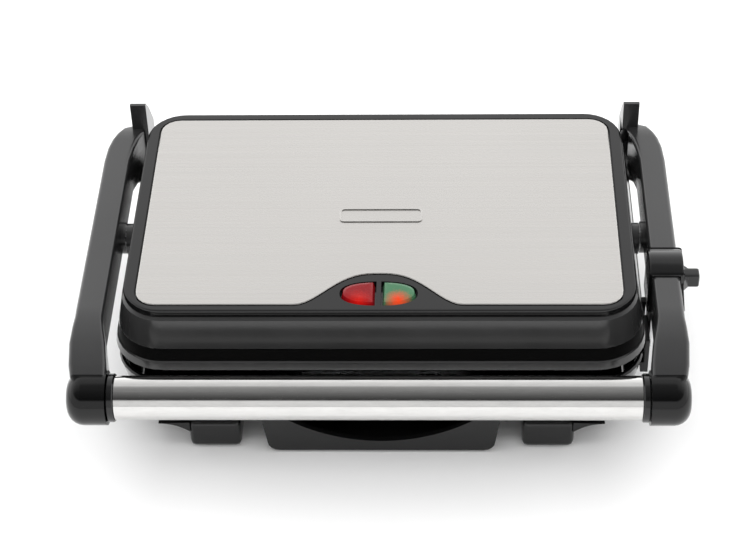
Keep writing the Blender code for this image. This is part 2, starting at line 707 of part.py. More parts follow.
def make_upper_housing():
    """The lid's shell: rim band, sunk dark band, drafted wall and a neck under the top panel."""
    profile = (
        (LID_RIM, 0.0008), (LID_RIM + 0.0008, 0.0), (BAND_BOTTOM - 0.0006, 0.0),
        (BAND_BOTTOM, BAND_DEPTH), (BAND_TOP, BAND_DEPTH), (BAND_TOP + 0.0006, 0.0),
        (CROWN - 0.0012, 0.0), (CROWN, 0.0012), (CROWN, NECK), (ROOF_TOP, NECK),
    )
    inside = ((ROOF_TOP - WALL, WALL + NECK), (CROWN - WALL - 0.001, WALL + 0.0015),
              (LID_RIM + 0.008, WALL + 0.0012), (LID_RIM, WALL + 0.0008))
    rings = [level(lid_outline(height, inset), height) for height, inset in inside + profile]
    bm = bmesh.new()
    loft(bm, rings)
    housing = add_mesh("upper_housing", bm, "gloss_black", "lid_float")
    smooth(housing)
    for side, name in ((-1, "left"), (1, "right")):
        pad = rod(FLOAT_PIN_RADIUS + 0.0055, (side * (HALF_BODY - PIVOT_PAD), FLOAT_Y, FLOAT_HEIGHT),
                  (side * (HALF_BODY - 0.0004), FLOAT_Y, FLOAT_HEIGHT), 28)
        boolean(housing, add_cutter("pivot_pad_" + name, pad, "lid_float"), "UNION")
        bore = rod(FLOAT_PIN_RADIUS + GAP, (side * (HALF_BODY - 0.012), FLOAT_Y, FLOAT_HEIGHT),
                   (side * (HALF_BODY + 0.005), FLOAT_Y, FLOAT_HEIGHT))
        boolean(housing, add_cutter("pivot_hole_" + name, bore, "lid_float"), "DIFFERENCE")
    for side, name in ((-1, "red"), (1, "green")):
        window = rod(0.0045, (side * LAMP_X, LENS_Y, ROOF_TOP - 0.01),
                     (side * LAMP_X, LENS_Y, ROOF_TOP + 0.01), 20)
        boolean(housing, add_cutter("lamp_window_" + name, window, "lid_float"), "DIFFERENCE")
    route = conduit_route(3)
    route_hole = rod(CONDUIT_RADIUS + 0.0007, route[0], route[0].lerp(route[1], 1.4), 20)
    boolean(housing, add_cutter("conduit_hole", route_hole, "lid_float"), "DIFFERENCE")


def bump_height(x):
    """How far the dark tongue reaches into the inlay at a distance from the middle."""
    share = min(1.0, abs(x) / (BUMP_WIDTH / 2))
    return BUMP_HEIGHT * (0.5 + 0.5 * math.cos(math.pi * share ** 1.35))


def inlay_outline(grow=0.0):
    """The inlay's plan: a rounded rectangle with a tongue cut out of its front edge."""
    half = INLAY_WIDTH / 2 + grow
    front = INLAY_FRONT - grow
    outline = rounded_rectangle(half, front, INLAY_FRONT + INLAY_DEPTH + grow, INLAY_CORNER + grow, 5)
    steps = 28
    reach = BUMP_WIDTH / 2
    for step in range(steps + 1):
        x = -reach + 2 * reach * step / steps
        outline.append((x, front + bump_height(x)))
    return outline


def lens_outline(side, grow=0.0):
    """Half of an oval, cut off along the bar between the two lenses."""
    half_x, half_y = LENS_WIDTH / 2 + grow, LENS_DEPTH / 2 + grow
    start = LENS_SPLIT / 2 - grow
    limit = math.degrees(math.acos((start / half_x) ** (2.4 / 2)))
    points = []
    for step in range(17):
        angle = math.radians(-limit + 2 * limit * step / 16)
        across = abs(math.cos(angle)) ** (2 / 2.4)
        depth = math.copysign(abs(math.sin(angle)) ** (2 / 2.4), math.sin(angle))
        points.append((side * half_x * across, LENS_Y + half_y * depth))
    return points


def make_top_panel():
    """The lid's glossy top with a seat for the inlay and windows for the two lenses."""
    edge = ((0.0, PANEL_BOTTOM), (0.0, LID_TOP - 0.0012), (0.0004, LID_TOP - 0.0004), (0.0012, LID_TOP))
    bm = bmesh.new()
    loft(bm, [level(lid_outline(LID_TOP, inset), height) for inset, height in edge])
    panel = add_mesh("top_panel", bm, "gloss_black", "lid_float")
    smooth(panel)
    seat = prism(inlay_outline(GAP), LID_TOP - INLAY_THICKNESS - GAP, LID_TOP + 0.01)
    boolean(panel, add_cutter("inlay_seat", seat, "lid_float"), "DIFFERENCE")
    for side, name in ((-1, "red"), (1, "green")):
        window = prism(lens_outline(side, GAP), PANEL_BOTTOM - 0.01, LID_TOP + 0.01)
        boolean(panel, add_cutter("lens_window_" + name, window, "lid_float"), "DIFFERENCE")
        lens = bmesh.new()
        rings = ((0.0, PANEL_BOTTOM + GAP), (0.0, LID_TOP + 0.0002), (0.0010, LID_TOP + 0.0009))
        loft(lens, [level(lens_outline(side, -inset), height) for inset, height in rings])
        add_mesh("lens_" + name, lens, name + "_lens", "lid_float")
        lamp_top = PANEL_BOTTOM - 2 * GAP
        turned("lamp_" + name, [(0, lamp_top), (0.0022, lamp_top - 0.0005), (0.0030, lamp_top - 0.0025),
                                (0.0030, lamp_top - 0.010), (0, lamp_top - 0.010)],
               "lamp", (side * LAMP_X, LENS_Y, 0), (0, 0, 1), "lid_float", 20)


def make_inlay():
    add_mesh("inlay_panel", prism(inlay_outline(), LID_TOP - INLAY_THICKNESS, LID_TOP + INLAY_PROUD),
             "brushed", "lid_float")
    bm = bmesh.new()
    near, far = EMBLEM_Y - EMBLEM_DEPTH / 2, EMBLEM_Y + EMBLEM_DEPTH / 2
    outer = rounded_rectangle(EMBLEM_WIDTH / 2, near, far, 0.0026, 4)
    inner = rounded_rectangle(EMBLEM_WIDTH / 2 - EMBLEM_BAND, near + EMBLEM_BAND, far - EMBLEM_BAND,
                              0.0016, 4)
    low, high = LID_TOP + INLAY_PROUD + 0.0001, LID_TOP + INLAY_PROUD + 0.0006
    loft(bm, [level(outer, low), level(outer, high), level(inner, high), level(inner, low)], closed=True)
    add_mesh("emblem_frame", bm, "brushed", "lid_float")


# Arms and handle

def arm_section(y, inner, outer, bottom, top, side):
    low_x, high_x = sorted((side * inner, side * outer))
    middle = (low_x + high_x) / 2
    ring = rounded_rectangle((high_x - low_x) / 2, bottom, top, ARM_CORNER, 3)
    return [(x + middle, y, z) for x, z in ring]


def arm_stations():
    """Sections along the arm: y, inner x, outer x, underside and top."""
    axis, flare = HANDLE_HEIGHT, ARM_INNER - CAP_INNER
    rise = ARM_TOP - axis
    back = TAB_FRONT
    return (
        (-0.0040, CAP_INNER + 0.0006, CAP_OUTER - 0.0050, axis - 0.009, axis + 0.46 * rise),
        (0.0020, CAP_INNER + 0.0004, CAP_OUTER - 0.0022, axis - 0.0105, axis + 0.60 * rise),
        (0.0080, CAP_INNER + 0.0004, CAP_OUTER - 0.0010, axis - 0.0105, axis + 0.70 * rise),
        (0.0200, CAP_INNER + 0.40 * flare, ARM_OUTER + 0.0012, axis - 0.0060, axis + 0.86 * rise),
        (0.0290, CAP_INNER + 0.80 * flare, ARM_OUTER + 0.0006, ARM_UNDER - 0.0015, axis + 0.95 * rise),
        (0.0350, ARM_INNER, ARM_OUTER, ARM_UNDER, axis + 0.99 * rise),
        (SLIDER_Y - 0.022, ARM_INNER, ARM_OUTER, ARM_UNDER, ARM_TOP),
        (back - 0.028, ARM_INNER, ARM_OUTER, ARM_UNDER, ARM_TOP),
        (back - 0.017, ARM_INNER - 0.0013, ARM_OUTER - 0.0007, ARM_UNDER - 0.003, ARM_TOP),
        (back - 0.009, ARM_INNER - 0.0028, ARM_OUTER - 0.0023, ARM_UNDER - 0.008, ARM_TOP),
        (back - 0.003, TAB_INNER + 0.0028, ARM_OUTER - 0.0044, ARM_UNDER - 0.012, ARM_TOP - 0.0003),
        (back + 0.002, TAB_INNER + 0.0010, ARM_OUTER - 0.0070, ARM_UNDER - 0.014, ARM_TOP - 0.0010),
        (back + 0.007, TAB_INNER + 0.0004, TAB_OUTER + 0.0002, ARM_UNDER - 0.016, ARM_TOP - 0.0030),
        (back + 0.012, TAB_INNER + 0.0004, TAB_OUTER - 0.0010, ARM_UNDER - 0.016, ARM_TOP - 0.0070),
    )


def hinge_plate_outline():
    """The arm's rear plate in (y, z): the hinge eye below, and the foot tab on top."""
    eye = (HINGE_Y, HINGE_HEIGHT)
    outline = arc(eye, EYE_RADIUS, 180, 360, 10)
    outline += [(HINGE_BACK, TAB_TOP - 0.026), (TAB_FRONT + 0.0100, TAB_TOP - 0.0085)]
    outline += [(TAB_FRONT + TAB_DEPTH, TAB_TOP), (TAB_FRONT, TAB_TOP), (TAB_FRONT, ARM_UNDER)]
    return outline


def make_arms():
    for side, name in ((-1, "left"), (1, "right")):
        bm = bmesh.new()
        loft(bm, [arm_section(*station, side) for station in arm_stations()])
        arm = add_mesh("arm_" + name, bm, "gloss_black", "lid_hinge")
        smooth(arm)
        dome = arc((CAP_RADIUS - CAP_DOME, CAP_LENGTH - CAP_DOME), CAP_DOME, 90, 0, 6)
        cap = turned("cap_" + name, [(0, CAP_LENGTH)] + dome + [(CAP_RADIUS, 0), (0, 0)],
                     "gloss_black", (side * CAP_INNER, 0, HANDLE_HEIGHT), (side, 0, 0), "lid_hinge", 40)
        boolean(arm, make_helper(cap), "UNION")
        plate = side_prism(hinge_plate_outline(), side, TAB_INNER, TAB_OUTER)
        boolean(arm, add_cutter("hinge_plate_" + name, plate, "lid_hinge"), "UNION")
        boss = rod(BOSS_RADIUS, (side * (ARM_INNER - 0.0021), FLOAT_Y, FLOAT_HEIGHT + 0.0008),
                   (side * (ARM_INNER + 0.002), FLOAT_Y, FLOAT_HEIGHT + 0.0008), 28)
        boolean(arm, add_cutter("boss_" + name, boss, "lid_hinge"), "UNION")
        holes = {
            "float_bore_": rod(FLOAT_PIN_RADIUS + GAP, (side * (ARM_INNER - 0.01), FLOAT_Y, FLOAT_HEIGHT),
                               (side * (ARM_INNER + FLOAT_REACH + 0.0005), FLOAT_Y, FLOAT_HEIGHT)),
            "hinge_bore_": rod(HINGE_PIN_RADIUS + GAP, (side * (TAB_INNER - 0.01), HINGE_Y, HINGE_HEIGHT),
                               (side * (TAB_OUTER + 0.01), HINGE_Y, HINGE_HEIGHT)),
            "rod_bore_": rod(ROD_RADIUS + GAP, (side * (CAP_INNER - 0.01), 0, HANDLE_HEIGHT),
                             (side * (CAP_INNER + ROD_SEAT + 0.0005), 0, HANDLE_HEIGHT)),
        }
        for label, shape in holes.items():
            boolean(arm, add_cutter(label + name, shape, "lid_hinge"), "DIFFERENCE")
        if side > 0:
            slot = box((TAB_INNER - 0.001, TAB_FRONT - 0.005, SLOT_BOTTOM),
                       (TAB_INNER + CHANNEL_DEPTH + 0.002, TAB_FRONT + 0.011, SLOT_TOP))
            boolean(arm, add_cutter("conduit_slot", slot, "lid_hinge"), "DIFFERENCE")
            channel = box((TAB_INNER - 0.001, HINGE_Y - 0.0026, HINGE_HEIGHT - 0.001),
                          (TAB_INNER + CHANNEL_DEPTH, HINGE_Y + 0.0026, SLOT_BOTTOM + 0.002))
            boolean(arm, add_cutter("lead_channel", channel, "lid_hinge"), "DIFFERENCE")


def make_handle():
    tube_half = CAP_INNER - COLLAR_LENGTH - 2 * GAP
    turned("handle_tube", [(TUBE_RADIUS - TUBE_WALL, tube_half), (TUBE_RADIUS, tube_half),
                           (TUBE_RADIUS, -tube_half), (TUBE_RADIUS - TUBE_WALL, -tube_half)],
           "brushed", (0, 0, HANDLE_HEIGHT), (1, 0, 0), "lid_hinge", 48)
    reach = CAP_INNER + ROD_SEAT
    bar = rod(ROD_RADIUS, (-reach, 0, HANDLE_HEIGHT), (reach, 0, HANDLE_HEIGHT), 20)
    smooth(add_mesh("handle_rod", bar, "zinc", "lid_hinge"))
    for side, name in ((-1, "left"), (1, "right")):
        length = COLLAR_LENGTH
        profile = [(ROD_RADIUS + GAP, length), (COLLAR_RADIUS - 0.0005, length),
                   (COLLAR_RADIUS, length - 0.0005), (COLLAR_RADIUS, 0.0005),
                   (COLLAR_RADIUS - 0.0005, 0), (ROD_RADIUS + GAP, 0)]
        turned("handle_collar_" + name, profile, "gloss_black",
               (side * (CAP_INNER - length - GAP), 0, HANDLE_HEIGHT), (side, 0, 0), "lid_hinge", 40)


def make_hinges():
    """Each side has a bracket on the base, and a pin through it and the arm."""
    lug_radius = HINGE_PIN_RADIUS + LUG_WALL
    flange_low, flange_high = FOOT_HEIGHT + 0.006, FOOT_HEIGHT + 0.021
    for side, name in ((-1, "left"), (1, "right")):
        outline = arc((HINGE_Y, HINGE_HEIGHT), lug_radius, 0, 180, 8)
        outline += [(HINGE_Y - lug_radius, flange_low - 0.001), (HINGE_Y + lug_radius, flange_low - 0.001)]
        lug = side_prism(outline, side, LUG_INNER, LUG_OUTER)
        lug = add_mesh("hinge_bracket_" + name, lug, "satin_black")
        flange = side_box(side, LUG_INNER - 0.026, LUG_INNER + 0.001, BASE_BACK + GAP,
                          HINGE_Y - lug_radius + 0.0066, flange_low, flange_high)
        boolean(lug, add_cutter("hinge_flange_" + name, flange), "UNION")
        bore = rod(HINGE_PIN_RADIUS + GAP, (side * (LUG_INNER - 0.01), HINGE_Y, HINGE_HEIGHT),
                   (side * (LUG_OUTER + 0.01), HINGE_Y, HINGE_HEIGHT))
        boolean(lug, add_cutter("lug_bore_" + name, bore), "DIFFERENCE")
        length = TAB_OUTER + 0.0022 - LUG_INNER
        head = length - PIN_HEAD
        head_radius = HINGE_PIN_RADIUS + 0.0022
        hole = LEAD_RADIUS + GAP
        profile = [(0, length), (head_radius - 0.0005, length), (head_radius, length - 0.0005),
                   (head_radius, head), (HINGE_PIN_RADIUS, head), (HINGE_PIN_RADIUS, 0)]
        if side > 0:
            profile += [(hole, 0), (hole, length - 0.0009), (0, length - 0.0009)]
        else:
            profile += [(0, 0)]
        pin = turned("hinge_pin_" + name, profile, "zinc", (side * LUG_INNER, HINGE_Y, HINGE_HEIGHT),
                     (side, 0, 0), "lid_hinge", 24)
        if side > 0:
            room = LEAD_RADIUS + 2 * GAP
            window = box((ARM_LEAD_X - room - 0.0026, HINGE_Y - room, HINGE_HEIGHT),
                         (ARM_LEAD_X + room, HINGE_Y + room, HINGE_HEIGHT + 0.01))
            boolean(pin, add_cutter("pin_window", window, "lid_hinge"), "DIFFERENCE")


def make_float_pivots():
    """A pin on each side lets the lid level itself between the arms."""
    for side, name in ((-1, "left"), (1, "right")):
        start = HALF_BODY - 0.0085
        length = ARM_INNER + FLOAT_REACH - start
        profile = [(0, length), (FLOAT_PIN_RADIUS - 0.0004, length), (FLOAT_PIN_RADIUS, length - 0.0004),
                   (FLOAT_PIN_RADIUS, 0), (0, 0)]
        turned("float_pin_" + name, profile, "zinc", (side * start, FLOAT_Y, FLOAT_HEIGHT), (side, 0, 0),
               "lid_hinge", 24)


def conduit_route(rings):
    start, bend, end = (Vector(point) for point in CONDUIT_ROUTE)
    route = []
    for step in range(rings):
        share = step / (rings - 1)
        route.append((1 - share) ** 2 * start + 2 * share * (1 - share) * bend + share ** 2 * end)
    return route


def make_lead():
    """The lid's lead runs through the arm and the hollow right hinge pin into the base."""
    tube_along("lead_conduit", conduit_route(21), CONDUIT_RADIUS, "satin_black", "lid_float",
               pinch=lambda index: 1.0 if index % 2 else 0.84)
    down = [(ARM_LEAD_X, HINGE_Y, SLOT_BOTTOM + 0.0010), (ARM_LEAD_X, HINGE_Y, HINGE_HEIGHT),
            (LUG_INNER + 0.0006, HINGE_Y, HINGE_HEIGHT)]
    tube_along("arm_lead", softened(down, 0.0024, 4), LEAD_RADIUS, "rubber", "lid_hinge")
    inward = [(LUG_INNER - 0.0004, HINGE_Y, HINGE_HEIGHT), (LEAD_X, HINGE_Y, HINGE_HEIGHT),
              (LEAD_X, HINGE_Y, LEAD_Z), (LEAD_X, BODY_BACK - 0.016, LEAD_Z)]
    tube_along("base_lead", softened(inward, 0.0040, 4), LEAD_RADIUS, "rubber", "press_root")


# Lock

def make_slider():
    """A sleeve around the right arm with a thumb nub; it slides forward to lock."""
    low = (SLIDER_INNER, SLIDER_Y, ARM_UNDER - SLIDER_WALL - GAP)
    high = (SLIDER_OUTER, SLIDER_Y + SLIDER_LENGTH, ARM_TOP + SLIDER_WALL + GAP)
    sleeve = add_mesh("lock_slider", box(low, high), "gloss_black", "lock_slide", bevel=0.0016)
    nub_y = SLIDER_Y + NUB_SETBACK
    nub_low, nub_high = ARM_TOP - 0.0145, ARM_TOP - 0.0065
    nub = box((SLIDER_OUTER - 0.001, nub_y - 0.0035, nub_low), (NUB_OUTER, nub_y + 0.0035, nub_high))
    nub = add_mesh("nub_shape", nub, "gloss_black", "lock_slide", bevel=0.0012)
    boolean(sleeve, make_helper(nub), "UNION")
    web = [(SLIDER_OUTER - 0.0012, nub_y - 0.0085), (SLIDER_OUTER + 0.0035, nub_y - 0.0030),
           (SLIDER_OUTER + 0.0035, nub_y + 0.0030), (SLIDER_OUTER - 0.0012, nub_y + 0.0085)]
    web = prism(web, nub_low + 0.0005, nub_high - 0.0005)
    boolean(sleeve, add_cutter("nub_web", web, "lock_slide"), "UNION")
    tip = [(SLIDER_Y + 0.003, ARM_TOP - 0.004), (SLIDER_Y - 0.013, ARM_TOP - 0.012),
           (SLIDER_Y + 0.003, ARM_UNDER + 0.002)]
    tip = side_prism(tip, 1, ARM_OUTER + 2 * GAP, SLIDER_OUTER - 0.0004)
    boolean(sleeve, add_cutter("tip", tip, "lock_slide"), "UNION")
    hole = box((ARM_INNER - GAP, SLIDER_Y - 0.01, ARM_UNDER - GAP),
               (ARM_OUTER + GAP, SLIDER_Y + SLIDER_LENGTH + 0.01, ARM_TOP + GAP))
    boolean(sleeve, add_cutter("slider_hole", hole, "lock_slide"), "DIFFERENCE")


def make_hook():
    """The steel plate under the sleeve, with a toe that catches the rack."""
    top = ARM_UNDER - SLIDER_WALL - 2 * GAP
    hook = add_mesh("lock_hook", box((HOOK_INNER, SLIDER_Y - 0.004, HOOK_BOTTOM),
                                     (HOOK_INNER + HOOK_THICKNESS, SLIDER_Y + SLIDER_LENGTH - 0.004, top)),
                    "zinc", "lock_slide")
    toe = box((HOOK_INNER - HOOK_TOE, TOE_FRONT, HOOK_BOTTOM + 0.0005),
              (HOOK_INNER + 0.0005, TOE_FRONT + TOE_LENGTH, HOOK_BOTTOM + 0.0005 + TOE_HEIGHT))
    boolean(hook, add_cutter("hook_toe", toe, "lock_slide"), "UNION")
    foot = box((HOOK_INNER + 0.0005, SLIDER_Y - 0.0035, top - 0.0024),
               (HOOK_INNER + 0.0060, SLIDER_Y + SLIDER_LENGTH - 0.0045, top - 0.0008))
    boolean(hook, add_cutter("hook_flange", foot, "lock_slide"), "UNION")


def make_rack():
    """The catch on the base's side: a slot under a lip, open behind so that the toe can lift out."""
    front = TOE_FRONT - LOCK_TRAVEL - RACK_END
    back = TOE_FRONT + TOE_LENGTH + RACK_END
    rack = add_mesh("lock_rack", box((RACK_INNER, front, RACK_BOTTOM), (RACK_OUTER, back, LID_RIM - 0.0020)),
                    "satin_black")
    slot = box((RACK_INNER - 0.01, TOE_FRONT - LOCK_TRAVEL - 0.001, HOOK_BOTTOM - 0.0005),
               (RACK_OUTER + 0.01, TOE_FRONT + TOE_LENGTH + 0.001, HOOK_BOTTOM + TOE_HEIGHT + 0.0020))
    boolean(rack, add_cutter("rack_slot", slot), "DIFFERENCE")
    root = box((RACK_INNER - 0.0015, front, RACK_BOTTOM), (RACK_INNER + 0.001, back, HOOK_BOTTOM - 0.001))
    boolean(rack, add_cutter("rack_root", root), "UNION")
    exit_way = box((RACK_INNER - 0.01, TOE_FRONT - 0.001, HOOK_BOTTOM - 0.0005),
                   (RACK_OUTER + 0.01, TOE_FRONT + TOE_LENGTH + 0.001, LID_RIM + 0.01))
    boolean(rack, add_cutter("rack_exit", exit_way), "DIFFERENCE")


def main():
    start_scene()
    middle_x = (NUB_OUTER - CAP_OUTER) / 2
    middle_y = (HINGE_BACK - CAP_RADIUS) / 2
    add_empty("press_root", (-middle_x, -middle_y, 0))
    add_empty("lid_hinge", (0, HINGE_Y, HINGE_HEIGHT), "press_root")
    add_empty("lid_float", (0, FLOAT_Y, FLOAT_HEIGHT), "press_root")
    add_empty("tray_slide", (0, TRAY_FRONT_Y, TRAY_FLOOR), "press_root")
    add_empty("lock_slide", (ARM_INNER, SLIDER_Y, ARM_TOP), "press_root")
    make_base_housing()
    make_bottom_cover()
    make_feet()
    make_drip_tray()
    make_heating_set("lower", MEETING - GAP, 1, "press_root")
    make_electrics()
    make_upper_housing()
    make_top_panel()
    make_inlay()
    make_heating_set("upper", MEETING + GAP, -1, "lid_float")
    make_arms()
    make_handle()
    make_hinges()
    make_float_pivots()
    make_lead()
    make_slider()
    make_hook()
    make_rack()


main()
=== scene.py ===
import json
import math

import bmesh
import bpy
from mathutils import Matrix, Vector


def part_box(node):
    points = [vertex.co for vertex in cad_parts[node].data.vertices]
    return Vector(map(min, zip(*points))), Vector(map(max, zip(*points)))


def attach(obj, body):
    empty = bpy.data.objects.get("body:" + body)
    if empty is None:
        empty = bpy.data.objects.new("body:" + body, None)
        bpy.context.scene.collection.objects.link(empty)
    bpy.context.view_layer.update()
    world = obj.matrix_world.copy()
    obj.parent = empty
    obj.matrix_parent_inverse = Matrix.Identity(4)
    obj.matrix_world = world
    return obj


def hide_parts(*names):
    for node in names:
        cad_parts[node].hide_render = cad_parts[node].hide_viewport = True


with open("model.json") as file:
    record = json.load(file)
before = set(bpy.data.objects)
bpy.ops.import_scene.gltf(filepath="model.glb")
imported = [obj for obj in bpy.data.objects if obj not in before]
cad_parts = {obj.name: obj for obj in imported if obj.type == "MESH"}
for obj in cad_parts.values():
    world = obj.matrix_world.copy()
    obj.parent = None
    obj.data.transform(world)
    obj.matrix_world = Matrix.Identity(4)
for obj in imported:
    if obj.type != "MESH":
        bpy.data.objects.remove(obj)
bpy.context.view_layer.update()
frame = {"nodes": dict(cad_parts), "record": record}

record = frame["record"]
bodyOf = {node: body for body, nodes in record["behaviour"]["bodies"].items() for node in nodes}


def newGroup(name, inputs, outputs):
    group = bpy.data.node_groups.new(name, "ShaderNodeTree")
    for label, kind, value in inputs:
        socket = group.interface.new_socket(name=label, in_out="INPUT", socket_type=kind)
        if value is not None:
            socket.default_value = value
    for label, kind in outputs:
        group.interface.new_socket(name=label, in_out="OUTPUT", socket_type=kind)
    tree = NodeTable(group)
    return group, tree, tree.add("NodeGroupInput").outputs, tree.add("NodeGroupOutput").inputs


class NodeTable:
    # adds and links nodes in one call; a value that is a socket is linked, any other is set

    def __init__(self, tree):
        self.tree = tree

    def add(self, kind, operation=None, settings=None, **values):
        node = self.tree.nodes.new(kind)
        if operation:
            node.operation = operation
        for key, value in (settings or {}).items():
            setattr(node, key, value)
        for key, value in values.items():
            self.feed(node.inputs[int(key[1:]) if key[0] == "i" and key[1:].isdigit() else key], value)
        return node

    def feed(self, socket, value):
        if isinstance(value, bpy.types.NodeSocket):
            self.tree.links.new(value, socket)
        else:
            socket.default_value = value

    def math(self, operation, first, second=0.0):
        return self.add("ShaderNodeMath", operation, i0=first, i1=second).outputs[0]

    def spread(self, value, low, high, outLow, outHigh):
        node = self.add("ShaderNodeMapRange", settings={"clamp": True})
        for index, item in enumerate((value, low, high, outLow, outHigh)):
            self.feed(node.inputs[index], item)
        return node.outputs[0]

    def blend(self, first, second, share):
        node = self.add("ShaderNodeMix", settings={"data_type": "FLOAT"}, A=first, B=second, Factor=share)
        return node.outputs[0]

    def blendColours(self, first, second, share):
        node = self.add("ShaderNodeMix", settings={"data_type": "RGBA"}, A=first, B=second, Factor=share)
        return node.outputs["Result"]

    def noise(self, vector, scale, detail=2.0, rough=0.5):
        node = self.add("ShaderNodeTexNoise")
        for label, item in (("Vector", vector), ("Scale", scale), ("Detail", detail), ("Roughness", rough)):
            self.feed(node.inputs[label], item)
        return node.outputs["Fac"]


def makeBrushedLines():
    # long strokes along X that vary shade, roughness and height
    group, tree, given, result = newGroup("brushedLines", (
        ("Vector", "NodeSocketVector", None), ("Along", "NodeSocketFloat", 26.0),
        ("Across", "NodeSocketFloat", 1500.0), ("Contrast", "NodeSocketFloat", 0.10)),
        (("Shade", "NodeSocketFloat"), ("Rough", "NodeSocketFloat"), ("Height", "NodeSocketFloat")))
    stretch = tree.add("ShaderNodeCombineXYZ", X=given["Along"], Y=given["Across"], Z=given["Across"])
    strokes = tree.add("ShaderNodeVectorMath", "MULTIPLY", i0=given["Vector"], i1=stretch.outputs[0])
    fine = tree.noise(strokes.outputs[0], 1.0, 3.0, 0.65)
    wide = tree.noise(strokes.outputs[0], 0.31, 2.0, 0.5)
    cloud = tree.noise(given["Vector"], 9.0, 2.0, 0.5)
    both = tree.math("MULTIPLY_ADD", wide, 0.55)
    tree.feed(both.node.inputs[2], tree.math("MULTIPLY", fine, 0.45))
    swing = tree.math("MULTIPLY", tree.spread(both, 0.30, 0.70, -1.0, 1.0), given["Contrast"])
    drift = tree.spread(cloud, 0.3, 0.7, -0.012, 0.012)
    tree.feed(result["Shade"], tree.math("ADD", tree.math("ADD", swing, drift), 1.0))
    tree.feed(result["Rough"], tree.spread(wide, 0.3, 0.7, 0.08, -0.05))
    tree.feed(result["Height"], fine)
    return group


def makeMouldedSkin():
    # the slight waviness, handling haze and tone drift of moulded plastic
    group, tree, given, result = newGroup("mouldedSkin", (
        ("Vector", "NodeSocketVector", None), ("Peel", "NodeSocketFloat", 160.0),
        ("Haze", "NodeSocketFloat", 0.05)),
        (("Shade", "NodeSocketFloat"), ("Rough", "NodeSocketFloat"), ("Height", "NodeSocketFloat")))
    peel = tree.noise(given["Vector"], given["Peel"], 2.0, 0.4)
    haze = tree.noise(given["Vector"], 14.0, 6.0, 0.62)
    wipe = tree.add("ShaderNodeVectorMath", "MULTIPLY", i0=given["Vector"], i1=(60.0, 420.0, 420.0))
    wiped = tree.noise(wipe.outputs[0], 1.0, 2.0, 0.5)
    wiped = tree.spread(wiped, 0.62, 0.80, 0.0, 0.16)
    mixed = tree.math("ADD", tree.spread(haze, 0.35, 0.75, 0.0, 1.0), wiped)
    tree.feed(result["Rough"], tree.math("MULTIPLY", mixed, given["Haze"]))
    tree.feed(result["Shade"], tree.spread(haze, 0.3, 0.7, 0.88, 1.14))
    tree.feed(result["Height"], peel)
    return group


def makePebbleSkin():
    # the close, even pebble of sprayed coats, spark-eroded moulds and rubber
    group, tree, given, result = newGroup("pebbleSkin", (
        ("Vector", "NodeSocketVector", None), ("Grain", "NodeSocketFloat", 2200.0),
        ("Speckle", "NodeSocketFloat", 0.2)),
        (("Shade", "NodeSocketFloat"), ("Rough", "NodeSocketFloat"), ("Height", "NodeSocketFloat")))
    pebble = tree.add("ShaderNodeTexVoronoi", Vector=given["Vector"], Scale=given["Grain"])
    blotch = tree.noise(given["Vector"], 40.0, 4.0, 0.6)
    lift = tree.spread(pebble.outputs["Distance"], 0.0, 0.75, 1.0, 0.0)
    swing = tree.math("MULTIPLY", tree.spread(blotch, 0.3, 0.7, -1.0, 1.0), given["Speckle"])
    tree.feed(result["Shade"], tree.math("ADD", swing, 1.0))
    tree.feed(result["Rough"], tree.spread(blotch, 0.35, 0.7, -0.06, 0.09))
    tree.feed(result["Height"], lift)
    return group


def makeEdgeWearAndHighlight():
    # a mask that is 1 along outer edges in patches: partly rubbing wear where hands and cloths rub, partly a
    # painted highlight where the edges catch the light
    group, tree, given, result = newGroup("rubbedEdge", (
        ("Vector", "NodeSocketVector", None), ("Reach", "NodeSocketFloat", 0.0006)),
        (("Mask", "NodeSocketFloat"),))
    rounded = tree.add("ShaderNodeBevel", settings={"samples": 4}, Radius=given["Reach"])
    flat = tree.add("ShaderNodeNewGeometry")
    turn = tree.add("ShaderNodeVectorMath", "DOT_PRODUCT", i0=rounded.outputs[0], i1=flat.outputs["Normal"])
    edge = tree.spread(turn.outputs["Value"], 0.995, 0.86, 0.0, 1.0)
    patch = tree.spread(tree.noise(given["Vector"], 190.0, 4.0, 0.65), 0.36, 0.62, 0.0, 1.0)
    tree.feed(result["Mask"], tree.math("MULTIPLY", edge, patch))
    return group


surfaceGroups = {
    "brushedLines": makeBrushedLines(), "mouldedSkin": makeMouldedSkin(),
    "pebbleSkin": makePebbleSkin(), "rubbedEdge": makeEdgeWearAndHighlight(),
}


